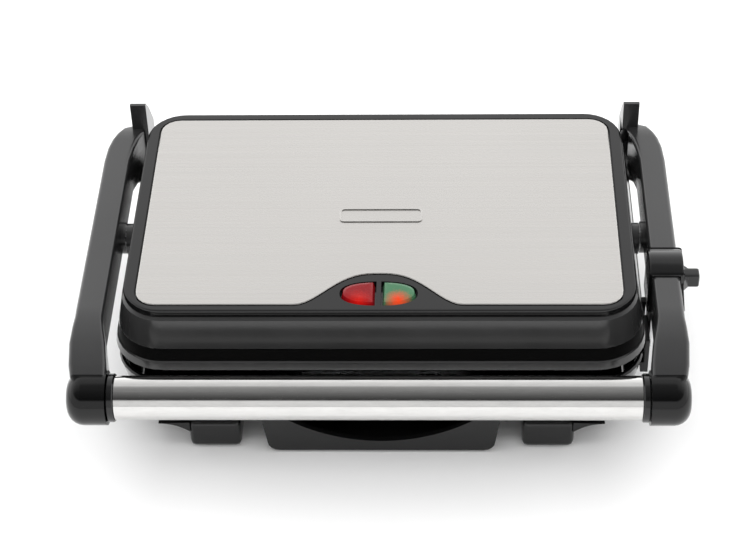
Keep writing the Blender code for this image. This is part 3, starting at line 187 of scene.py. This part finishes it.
def makeFinish(name, look):
    # one Principled shader whose colour, roughness and bump come from the look's surface group
    finish = bpy.data.materials.new(name)
    finish.use_nodes = True
    tree = NodeTable(finish.node_tree)
    shader = finish.node_tree.nodes["Principled BSDF"]
    shader.inputs["Metallic"].default_value = look.get("metal", 0.0)
    shader.inputs["Specular IOR Level"].default_value = look.get("specular", 0.5)
    place = tree.add("ShaderNodeTexCoord").outputs["Object"]
    group = surfaceGroups[look["surface"]]
    surface = tree.add("ShaderNodeGroup", settings={"node_tree": group}, Vector=place)
    for label, value in look["pattern"].items():
        surface.inputs[label].default_value = value
    tint = tree.add("ShaderNodeMix", settings={"data_type": "RGBA", "blend_type": "MULTIPLY"})
    tint.inputs["Factor"].default_value = 1.0
    tree.feed(tint.inputs["A"], (*look["colour"], 1.0))
    tree.feed(tint.inputs["B"], surface.outputs["Shade"])
    colour = tint.outputs["Result"]
    rough = tree.math("ADD", surface.outputs["Rough"], look["rough"])
    # lighter colour along the edges: part rubbed wear, part painted highlight
    if "edge" in look:
        group = surfaceGroups["rubbedEdge"]
        edge = tree.add("ShaderNodeGroup", settings={"node_tree": group}, Vector=place).outputs["Mask"]
        colour = tree.blendColours(colour, (*look["edge"], 1.0), tree.math("MULTIPLY", edge, look["wearAndHighlight"]))
    tree.feed(shader.inputs["Base Color"], colour)
    tree.feed(shader.inputs["Roughness"], rough)
    bump = tree.add("ShaderNodeBump", Height=surface.outputs["Height"], Strength=look["bump"])
    bump.inputs["Distance"].default_value = look.get("depth", 0.0001)
    tree.feed(shader.inputs["Normal"], bump.outputs[0])
    return finish, tree, shader, colour


# finish: surface group, colour, roughness, bump and its depth in metres, edge colour and share; the lighter
# edge colour is part rubbed wear, part painted edge highlight
looks = {
    "pianoBlack": dict(surface="mouldedSkin", colour=(0.0050, 0.0050, 0.0052), rough=0.09, bump=0.05,
                       pattern={"Peel": 130.0, "Haze": 0.05}, specular=0.45,
                       edge=(0.03, 0.03, 0.03), wearAndHighlight=0.15),
    "capBlack": dict(surface="mouldedSkin", colour=(0.0020, 0.0020, 0.0021), rough=0.08, bump=0.04,
                     pattern={"Peel": 180.0, "Haze": 0.04}, specular=0.34),
    "lidBlack": dict(surface="mouldedSkin", colour=(0.028, 0.028, 0.0282), rough=0.14, bump=0.05,
                     pattern={"Peel": 160.0, "Haze": 0.05}, edge=(0.04, 0.04, 0.04), wearAndHighlight=0.15),
    "armBlack": dict(surface="mouldedSkin", colour=(0.018, 0.018, 0.0184), rough=0.20, bump=0.05,
                     pattern={"Peel": 220.0, "Haze": 0.05}, specular=0.72,
                     edge=(0.08, 0.08, 0.08), wearAndHighlight=0.25),
    "satinBlack": dict(surface="pebbleSkin", colour=(0.009, 0.009, 0.0092), rough=0.44, bump=0.25,
                       depth=0.00008, pattern={"Grain": 2600.0, "Speckle": 0.12}, specular=0.32,
                       edge=(0.04, 0.04, 0.04), wearAndHighlight=0.3),
    # near-black, barely reflecting finish of the painted shade strip in the lid's groove
    "paintedShadeBlack": dict(surface="pebbleSkin", colour=(0.0014, 0.0014, 0.0014), rough=0.60, bump=0.2,
                      depth=0.00006, pattern={"Grain": 3200.0, "Speckle": 0.15}, specular=0.06),
    # the inlay's near-white edge colour is mainly painted highlight for the bright rim of its bevel, with
    # some rubbed wear
    "inlaySteel": dict(surface="brushedLines", colour=(0.54, 0.526, 0.508), rough=0.27, metal=1.0, bump=0.07,
                       depth=0.00004, pattern={"Along": 7.0, "Across": 2400.0, "Contrast": 0.024},
                       edge=(0.85, 0.84, 0.82), wearAndHighlight=0.6),
    "tubeSteel": dict(surface="brushedLines", colour=(0.60, 0.595, 0.585), rough=0.08, metal=1.0, bump=0.08,
                      depth=0.00004, pattern={"Along": 260.0, "Across": 1500.0, "Contrast": 0.07}),
    "plainSteel": dict(surface="brushedLines", colour=(0.50, 0.505, 0.51), rough=0.30, metal=1.0, bump=0.15,
                       depth=0.00004, pattern={"Along": 120.0, "Across": 900.0, "Contrast": 0.12},
                       edge=(0.75, 0.75, 0.75), wearAndHighlight=0.5),
    "castCoat": dict(surface="pebbleSkin", colour=(0.022, 0.022, 0.023), rough=0.58, bump=0.55,
                     depth=0.00012, pattern={"Grain": 1500.0, "Speckle": 0.22}, specular=0.25,
                     edge=(0.05, 0.05, 0.05), wearAndHighlight=0.2),
    "softRubber": dict(surface="pebbleSkin", colour=(0.013, 0.013, 0.013), rough=0.74, bump=0.4,
                       depth=0.00008, pattern={"Grain": 1900.0, "Speckle": 0.25}, specular=0.3),
    "paleCeramic": dict(surface="pebbleSkin", colour=(0.62, 0.58, 0.50), rough=0.50, bump=0.3,
                        depth=0.00006, pattern={"Grain": 1700.0, "Speckle": 0.08}),
    "lampGlass": dict(surface="mouldedSkin", colour=(0.75, 0.70, 0.62), rough=0.10, bump=0.05,
                      pattern={"Peel": 300.0, "Haze": 0.05}),
}
finishes = {name: makeFinish(name, look)[0] for name, look in looks.items()}
print("finishes made:", len(finishes))

# faces this flat are merged, except where the merged face has too deep a comb of ribs or teeth
cleaning = dict(merge=0.000008, flat=0.4, keepTriangles=("upper_plate", "lock_rack"))


def cleanCopy(node):
    bm = bmesh.new()
    bm.from_mesh(frame["nodes"][node].data)
    bmesh.ops.remove_doubles(bm, verts=bm.verts, dist=cleaning["merge"])
    if node not in cleaning["keepTriangles"]:
        flat = math.radians(cleaning["flat"])
        bmesh.ops.dissolve_limit(bm, angle_limit=flat, verts=bm.verts, edges=bm.edges)
    return bm


def sharpEdges(bm, crease):
    limit = math.radians(crease)
    return [edge for edge in bm.edges if len(edge.link_faces) == 2 and edge.calc_face_angle(0.0) > limit]


def isUpright(edge):
    return abs((edge.verts[0].co - edge.verts[1].co).normalized().z) >= 0.9


def softenEdges(bm, width, crease, upright=True):
    edges = [edge for edge in sharpEdges(bm, crease) if upright or not isUpright(edge)]
    bmesh.ops.bevel(bm, geom=edges, offset=width, offset_type="OFFSET", affect="EDGES",
                    segments=2, profile=0.5, material=-1, clamp_overlap=True)


def drawIn(bm, gap):
    # pull the outline in all round, so a dark gap is left between the piece and its recess
    faces = sorted(bm.faces, key=lambda face: face.calc_area())[-2:]
    for face in faces:
        bmesh.ops.inset_region(bm, faces=[face], thickness=gap, depth=0.0, use_even_offset=True)
    bmesh.ops.delete(bm, geom=[face for face in bm.faces if face not in faces], context="FACES")
    bmesh.ops.bridge_loops(bm, edges=[edge for face in faces for edge in face.edges])
    bmesh.ops.recalc_face_normals(bm, faces=bm.faces[:])


def addPiece(name, bm, finish, node=None, body=None, smoothAngle=40):
    mesh = bpy.data.meshes.new(name)
    bm.to_mesh(mesh)
    bm.free()
    piece = bpy.data.objects.new(name, mesh)
    bpy.context.scene.collection.objects.link(piece)
    mesh.materials.append(finishes[finish])
    mesh.shade_smooth()
    mesh.set_sharp_from_angle(angle=math.radians(smoothAngle))
    weighted = piece.modifiers.new("faces", "WEIGHTED_NORMAL")
    weighted.keep_sharp = True
    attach(piece, body or bodyOf[node])
    if node:
        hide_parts(node)
    return piece


# node: finish, edge width in metres, crease in degrees
cleanPieces = {
    "base_housing": ("pianoBlack", 0.0004, 35), "bottom_cover": ("satinBlack", 0.0003, 35),
    "drip_tray": ("pianoBlack", 0.0005, 35), "upper_housing": ("lidBlack", 0.0003, 35),
    "top_panel": ("pianoBlack", 0.0002, 35), "inlay_panel": ("inlaySteel", 0.0005, 35),
    "emblem_frame": ("inlaySteel", 0.00018, 35),
    "arm_left": ("armBlack", 0.0004, 40), "arm_right": ("armBlack", 0.0004, 40),
    "handle_tube": ("tubeSteel", 0.0, 35), "handle_rod": ("plainSteel", 0.0004, 35),
    "handle_collar_left": ("pianoBlack", 0.0, 35), "handle_collar_right": ("pianoBlack", 0.0, 35),
    "hinge_bracket_left": ("satinBlack", 0.0005, 35), "hinge_bracket_right": ("satinBlack", 0.0005, 35),
    "hinge_pin_left": ("plainSteel", 0.0, 35), "hinge_pin_right": ("plainSteel", 0.0, 35),
    "float_pin_left": ("plainSteel", 0.0, 35), "float_pin_right": ("plainSteel", 0.0, 35),
    "lock_hook": ("plainSteel", 0.0002, 35), "lock_rack": ("satinBlack", 0.0003, 35),
    "cord_inlet": ("softRubber", 0.0002, 35), "base_lead": ("softRubber", 0.0, 40),
    "arm_lead": ("softRubber", 0.0, 40), "lead_conduit": ("satinBlack", 0.0, 30),
    "lower_plate": ("castCoat", 0.0003, 30), "upper_plate": ("castCoat", 0.0003, 30),
    "lower_element": ("plainSteel", 0.0, 40), "upper_element": ("plainSteel", 0.0, 40),
    "lower_reflector": ("plainSteel", 0.0, 35), "upper_reflector": ("plainSteel", 0.0, 35),
    "lower_thermostat": ("paleCeramic", 0.0003, 35), "upper_thermostat": ("paleCeramic", 0.0003, 35),
    "terminal_block": ("paleCeramic", 0.0, 35),
    "lamp_red": ("lampGlass", 0.0, 35), "lamp_green": ("lampGlass", 0.0, 35),
}
for row in ("front", "rear"):
    for side in ("left", "right"):
        cleanPieces["foot_" + row + "_" + side] = ("pianoBlack", 0.0, 35)
        cleanPieces["foot_pad_" + row + "_" + side] = ("softRubber", 0.0004, 35)

gapRound = {"inlay_panel": 0.00055, "lens": 0.0005}
squareCorners = ("lower_plate",)

for node, (finish, width, crease) in cleanPieces.items():
    bm = cleanCopy(node)
    if node in gapRound:
        drawIn(bm, gapRound[node])
    if width:
        softenEdges(bm, width, crease, upright=node not in squareCorners)
    addPiece(node + "_shown", bm, finish, node=node)
print("case pieces finished:", len(cleanPieces))

# the arms' caps are glossier than the arms
capFinish = dict(finish="capBlack", reach=0.01415)


def finishCap(node):
    piece = bpy.data.objects[node + "_shown"]
    low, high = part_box("handle_tube")
    axis = (low + high) / 2
    piece.data.materials.append(finishes[capFinish["finish"]])
    for face in piece.data.polygons:
        away = face.center - axis
        if math.hypot(away.y, away.z) < capFinish["reach"]:
            face.material_index = 1


for node in ("arm_left", "arm_right"):
    finishCap(node)
print("caps finished")

# a thin web flares out from each front foot to the body
footWeb = dict(reach=0.0165, tip=0.0006, drop=0.0062, flare=2.2, depth=0.010, setback=0.0006,
               below=0.0004, overlap=0.0006, steps=8)


def makeFootWeb(side):
    low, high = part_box("foot_front_" + side)
    turn = -1 if side == "left" else 1
    start = (low.x if turn < 0 else high.x) - turn * footWeb["overlap"]
    top = high.z - footWeb["below"]
    outline = [(start, top)]
    for step in range(footWeb["steps"] + 1):
        share = step / footWeb["steps"]
        outline.append((start + turn * footWeb["reach"] * (1 - share),
                        top - footWeb["tip"] - footWeb["drop"] * share ** footWeb["flare"]))
    bm = bmesh.new()
    face = bm.faces.new([bm.verts.new((x, low.y + footWeb["setback"], z)) for x, z in outline])
    pushed = bmesh.ops.extrude_face_region(bm, geom=[face])["geom"]
    moved = [item for item in pushed if isinstance(item, bmesh.types.BMVert)]
    bmesh.ops.translate(bm, verts=moved, vec=(0, footWeb["depth"], 0))
    bmesh.ops.recalc_face_normals(bm, faces=bm.faces[:])
    addPiece("foot_web_" + side, bm, "pianoBlack", body="base")


for side in ("left", "right"):
    makeFootWeb(side)
print("foot webs made")

# a near-black, dull strip laid in the groove sunk into the lid's wall: painted shade standing in for the
# groove's shadow and dark reflection; the wall leans in by the drafts over its height
lidShadeBand = dict(bottom=0.0056, top=0.0121, wall=0.0344, sideDraft=0.00675, frontDraft=0.0085,
               backDraft=0.0035, corner=0.0268, cornerSteps=12, sunk=0.0004, thickness=0.0006)


def bandCorners(low, high, key):
    # the near and far corners of the wall's plan at the band's bottom or top
    share = lidShadeBand[key] / lidShadeBand["wall"]
    side, sunk = lidShadeBand["sideDraft"] * share + lidShadeBand["sunk"], lidShadeBand["sunk"]
    near = low + Vector((side, lidShadeBand["frontDraft"] * share + sunk, lidShadeBand[key]))
    far = high - Vector((side, lidShadeBand["backDraft"] * share + sunk, 0))
    return near, far


def makeLidShadeBand():
    low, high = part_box("upper_housing")
    near, far = bandCorners(low, high, "bottom")
    nearTop, farTop = bandCorners(low, high, "top")
    corner = lidShadeBand["corner"] - lidShadeBand["sideDraft"] * lidShadeBand["bottom"] / lidShadeBand["wall"] - lidShadeBand["sunk"]
    middle = Vector(((near.x + far.x) / 2, (near.y + far.y) / 2, near.z))
    size = Matrix.Diagonal((far.x - near.x, far.y - near.y, 1, 1))
    bm = bmesh.new()
    bmesh.ops.create_grid(bm, x_segments=1, y_segments=1, size=0.5, matrix=Matrix.Translation(middle) @ size)
    bmesh.ops.bevel(bm, geom=bm.verts[:], offset=corner, offset_type="OFFSET", affect="VERTICES",
                    segments=lidShadeBand["cornerSteps"], profile=0.5, material=-1)
    raised = bmesh.ops.extrude_face_region(bm, geom=bm.faces[:])["geom"]
    for vertex in [item for item in raised if isinstance(item, bmesh.types.BMVert)]:
        across = (vertex.co.x - near.x) / (far.x - near.x)
        along = (vertex.co.y - near.y) / (far.y - near.y)
        vertex.co = (nearTop.x + across * (farTop.x - nearTop.x), nearTop.y + along * (farTop.y - nearTop.y),
                     nearTop.z)
    bmesh.ops.delete(bm, geom=[face for face in bm.faces if abs(face.normal.z) > 0.9], context="FACES_ONLY")
    bmesh.ops.recalc_face_normals(bm, faces=bm.faces[:])
    bmesh.ops.solidify(bm, geom=bm.faces[:], thickness=lidShadeBand["thickness"])
    bmesh.ops.recalc_face_normals(bm, faces=bm.faces[:])
    # the strip is painted shade: it darkens the groove in place of its shadow and dark reflection
    addPiece("lid_shade_band", bm, "paintedShadeBlack", body="lid")


makeLidShadeBand()
print("lid band made")

lensLooks = {
    "red": dict(colour=(0.13, 0.005, 0.007), glowIn=(1.10, 0.012, 0.008), glowOut=(0.16, 0.0, 0.002),
                power=0.5),
    "green": dict(colour=(0.045, 0.125, 0.065), glowIn=(1.10, 0.075, 0.012), glowOut=(0.012, 0.036, 0.018),
                  power=0.8),
}
# dome: insets and lifts of the lens top; lamp: its place from the lens's inner and front edges
lensShape = dict(dome=((0.0002, 0.0), (0.0005, 0.00035), (0.0007, 0.00025), (0.0009, 0.00012)),
                 lamp=(0.0085, 0.0030), glowNear=0.0018, glowFar=0.0088, glowFade=1.2, prisms=1100.0,
                 scatter=0.0022, behindGlow=(0.05, 0.004, 0.002, 1.0))


def makeLens(side):
    # domed lens with a prismatic underside; the lamp behind it glows through low in the middle
    look = lensLooks[side]
    node = "lens_" + side
    low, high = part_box(node)
    bm = cleanCopy(node)
    drawIn(bm, gapRound["lens"])
    top = max(bm.faces, key=lambda face: face.calc_center_median().z)
    for inset, lift in lensShape["dome"]:
        bmesh.ops.inset_region(bm, faces=[top], thickness=inset, depth=lift, use_even_offset=True)
    lens, tree, shader, colour = makeFinish(node, dict(
        surface="pebbleSkin", colour=look["colour"], rough=0.16, bump=0.6, depth=0.00012, specular=0.22,
        pattern={"Grain": 1100.0, "Speckle": 0.12}))
    place = tree.add("ShaderNodeTexCoord").outputs["Object"]
    inward, forward = lensShape["lamp"]
    lamp = (low.x + inward if side == "green" else high.x - inward, low.y + forward, high.z)
    reach = tree.add("ShaderNodeVectorMath", "DISTANCE", i0=place, i1=lamp).outputs["Value"]
    prisms = tree.add("ShaderNodeTexVoronoi", Vector=place, Scale=lensShape["prisms"]).outputs["Distance"]
    reach = tree.math("ADD", reach, tree.math("MULTIPLY", prisms, lensShape["scatter"]))
    glow = tree.spread(reach, lensShape["glowNear"], lensShape["glowFar"], 1.0, 0.0)
    glow = tree.math("POWER", glow, lensShape["glowFade"])
    tree.feed(shader.inputs["Base Color"], tree.blendColours(colour, lensShape["behindGlow"], glow))
    tree.feed(shader.inputs["Emission Color"],
              tree.blendColours((*look["glowOut"], 1.0), (*look["glowIn"], 1.0), glow))
    shader.inputs["Emission Strength"].default_value = look["power"]
    finishes[node] = lens
    addPiece(node + "_shown", bm, node, node=node, smoothAngle=50)


for side in lensLooks:
    makeLens(side)
print("lenses made")


# the slider's sleeve is crowned along the arm
sleeve = dict(length=0.022, crown=0.0038, ends=0.6, above=0.0915, rings=11, edge=0.0004)


def makeSleeve():
    low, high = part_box("lock_slider")
    bm = cleanCopy("lock_slider")
    front = high.y - sleeve["length"]
    for step in range(1, sleeve["rings"]):
        bmesh.ops.bisect_plane(bm, geom=bm.verts[:] + bm.edges[:] + bm.faces[:], dist=0.000001,
                               plane_co=(0, front + sleeve["length"] * step / sleeve["rings"], 0),
                               plane_no=(0, 1, 0))
    softenEdges(bm, sleeve["edge"], 35)
    for vertex in bm.verts:
        share = (vertex.co.y - front) / sleeve["length"]
        if vertex.co.z > sleeve["above"] and -0.01 < share < 1.01:
            vertex.co.z += sleeve["crown"] * (4 * share * (1 - share) - sleeve["ends"])
    addPiece("lock_slider_shown", bm, "pianoBlack", node="lock_slider")


makeSleeve()
print("slider made")

# a long lens looks down at the press; angles in degrees, place in metres
cameraSettings = dict(pitch=42.0, yaw=-2.452, roll=-1.7074, lens=100.2, place=(0.02699, -0.83646, 0.81218))


def addCamera():
    pitch, yaw, roll = (math.radians(cameraSettings[key]) for key in ("pitch", "yaw", "roll"))
    ahead = Vector((math.sin(yaw) * math.cos(pitch), math.cos(yaw) * math.cos(pitch), -math.sin(pitch)))
    right = ahead.cross(Vector((0, 0, 1))).normalized()
    up = right.cross(ahead)
    across = math.cos(roll) * right + math.sin(roll) * up
    upright = -math.sin(roll) * right + math.cos(roll) * up
    data = bpy.data.cameras.new("viewpoint")
    data.lens = cameraSettings["lens"]
    data.sensor_width = 36.0
    data.clip_start, data.clip_end = 0.05, 50.0
    camera = bpy.data.objects.new("viewpoint", data)
    turn = Matrix((across, upright, -ahead)).transposed().to_4x4()
    camera.matrix_world = Matrix.Translation(cameraSettings["place"]) @ turn
    bpy.context.scene.collection.objects.link(camera)
    bpy.context.scene.camera = camera


# bright sky behind and in front, a darker ceiling between, and a wide key light over the front
studio = dict(floorColour=(0.92, 0.92, 0.92), floorSize=30.0, skyRearLow=2.05, skyRear=0.96, skyFront=1.05,
              ceilingRear=0.50, ceilingFront=0.04, keyPower=39.0, keySize=2.4, keyPlace=(0.0, -0.25, 1.6))


def addStage():
    bm = bmesh.new()
    bmesh.ops.create_grid(bm, x_segments=1, y_segments=1, size=studio["floorSize"] / 2)
    mesh = bpy.data.meshes.new("studio_floor")
    bm.to_mesh(mesh)
    bm.free()
    floor = bpy.data.objects.new("studio_floor", mesh)
    bpy.context.scene.collection.objects.link(floor)
    paper = bpy.data.materials.new("studioPaper")
    paper.use_nodes = True
    shader = paper.node_tree.nodes["Principled BSDF"]
    shader.inputs["Base Color"].default_value = (*studio["floorColour"], 1.0)
    shader.inputs["Roughness"].default_value = 0.9
    shader.inputs["Specular IOR Level"].default_value = 0.0
    mesh.materials.append(paper)


def addLight():
    world = bpy.data.worlds.new("studioSky")
    bpy.context.scene.world = world
    world.use_nodes = True
    tree = NodeTable(world.node_tree)
    background = world.node_tree.nodes["Background"]
    ray = tree.add("ShaderNodeTexCoord").outputs["Generated"]
    axes = tree.add("ShaderNodeSeparateXYZ", Vector=ray).outputs
    ceiling = tree.spread(axes["Y"], -0.85, 0.40, studio["ceilingFront"], studio["ceilingRear"])
    rear = tree.spread(axes["Z"], 0.05, 0.85, studio["skyRearLow"], studio["skyRear"])
    behind = tree.blend(rear, ceiling, tree.spread(axes["Z"], 0.92, 0.98, 0.0, 1.0))
    ahead = tree.blend(studio["skyFront"], ceiling, tree.spread(axes["Z"], 0.46, 0.56, 0.0, 1.0))
    strength = tree.blend(ahead, behind, tree.spread(axes["Y"], -0.3, 0.3, 0.0, 1.0))
    background.inputs["Color"].default_value = (1.0, 1.0, 1.0, 1.0)
    tree.feed(background.inputs["Strength"], strength)
    data = bpy.data.lights.new("softbox", "AREA")
    data.shape = "SQUARE"
    data.size = studio["keySize"]
    data.energy = studio["keyPower"]
    key = bpy.data.objects.new("softbox", data)
    key.location = studio["keyPlace"]
    key.rotation_mode = "QUATERNION"
    key.rotation_quaternion = (-Vector(studio["keyPlace"])).to_track_quat("-Z", "Y")
    key.visible_glossy = False
    bpy.context.scene.collection.objects.link(key)
    bpy.context.scene.view_settings.view_transform = "Standard"


addCamera()
addStage()
addLight()
print("camera, stage and light set")
